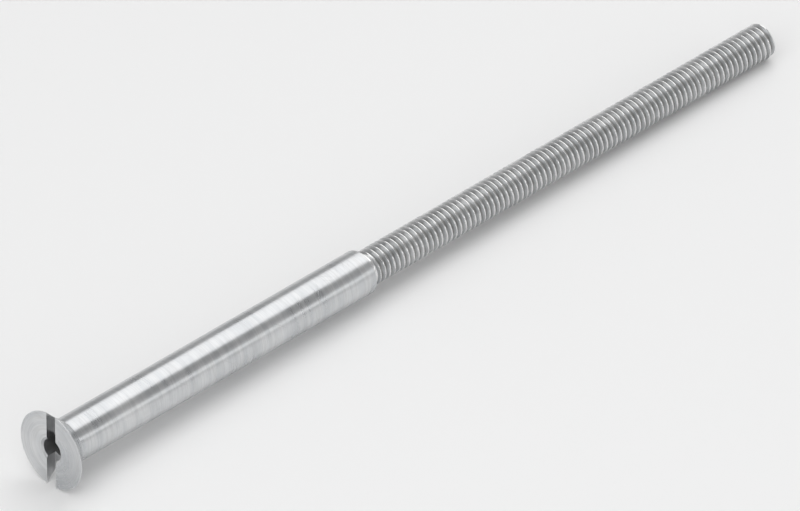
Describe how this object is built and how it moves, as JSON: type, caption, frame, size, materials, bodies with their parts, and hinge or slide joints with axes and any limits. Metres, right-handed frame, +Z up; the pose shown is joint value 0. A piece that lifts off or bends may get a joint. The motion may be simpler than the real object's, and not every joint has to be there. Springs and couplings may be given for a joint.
{
  "type": "countersunk screw",
  "caption": "Slotted countersunk screw with a blind centre hole in its head, a plain shank, and a thinner threaded end beyond a square shoulder.",
  "frame": {"origin": "centre of the head face, on the screw's axis", "axes": "+X along the screw from its head to its tip, +Z up and along the slot, +Y across the slot"},
  "size_m": [0.105, 0.009, 0.009],
  "materials": {
    "plated_steel": "bright plating over fine turning marks"
  },
  "bodies": {
    "root": {"screw": "plated_steel"}
  },
  "joints": []
}
